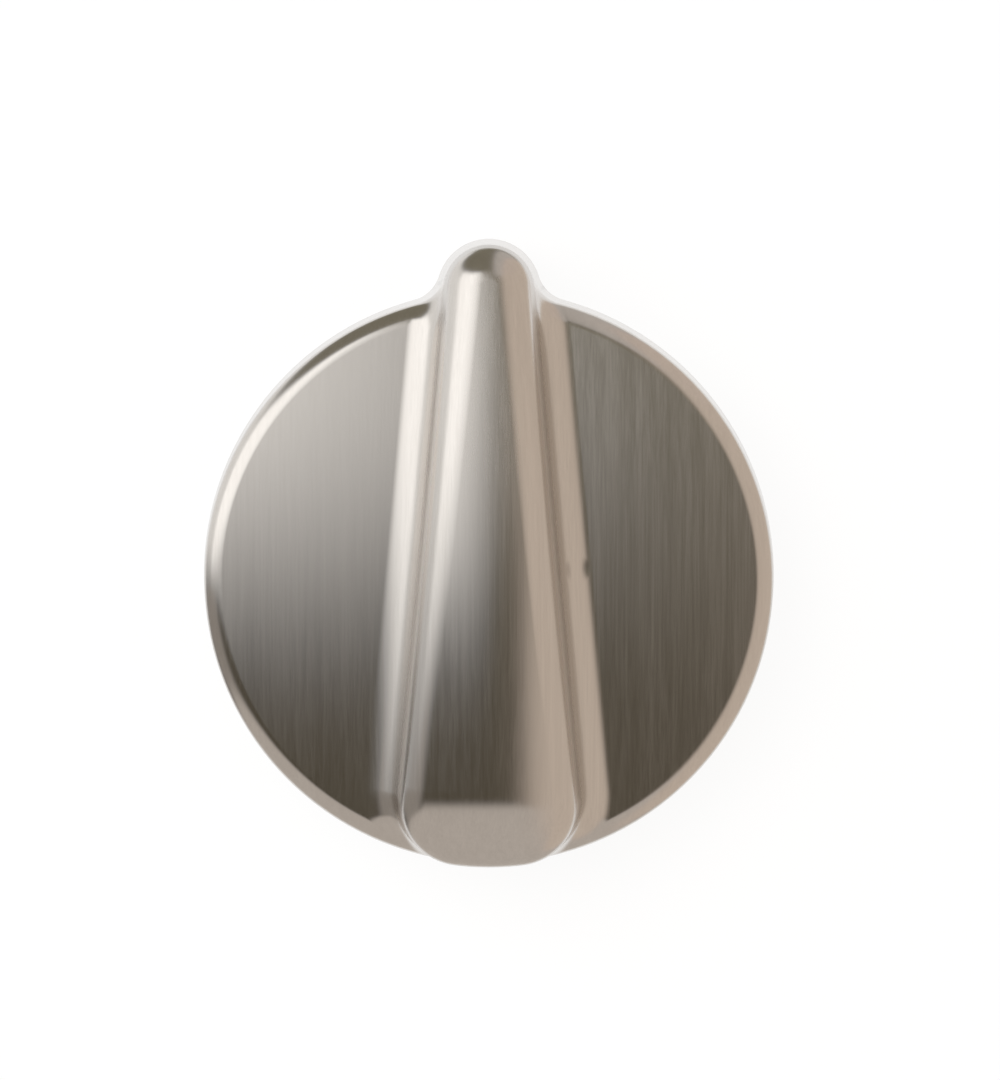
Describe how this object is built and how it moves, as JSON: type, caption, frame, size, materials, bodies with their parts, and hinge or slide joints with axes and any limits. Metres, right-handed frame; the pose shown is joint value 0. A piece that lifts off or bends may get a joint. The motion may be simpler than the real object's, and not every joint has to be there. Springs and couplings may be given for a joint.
{
  "type": "oven control knob",
  "caption": "Round oven control knob in brushed steel with a tapering finger bar that ends in a pointer, over a moulded core with a clipped socket for a flatted shaft.",
  "frame": {"origin": "on the shaft axis, in the plane of the back edge", "axes": "+Z out of the face along the shaft axis, +Y along the bar towards the pointer"},
  "size_m": [0.057, 0.0622, 0.024],
  "materials": {
    "brushed_steel": "brushed along the bar, polished in the rounds",
    "black_plastic": "matt moulded black",
    "spring_steel": "plain rolled spring strip"
  },
  "bodies": {
    "root": {"steel_shell": "brushed_steel", "moulded_core": "black_plastic", "shaft_clip": "spring_steel"}
  },
  "joints": []
}
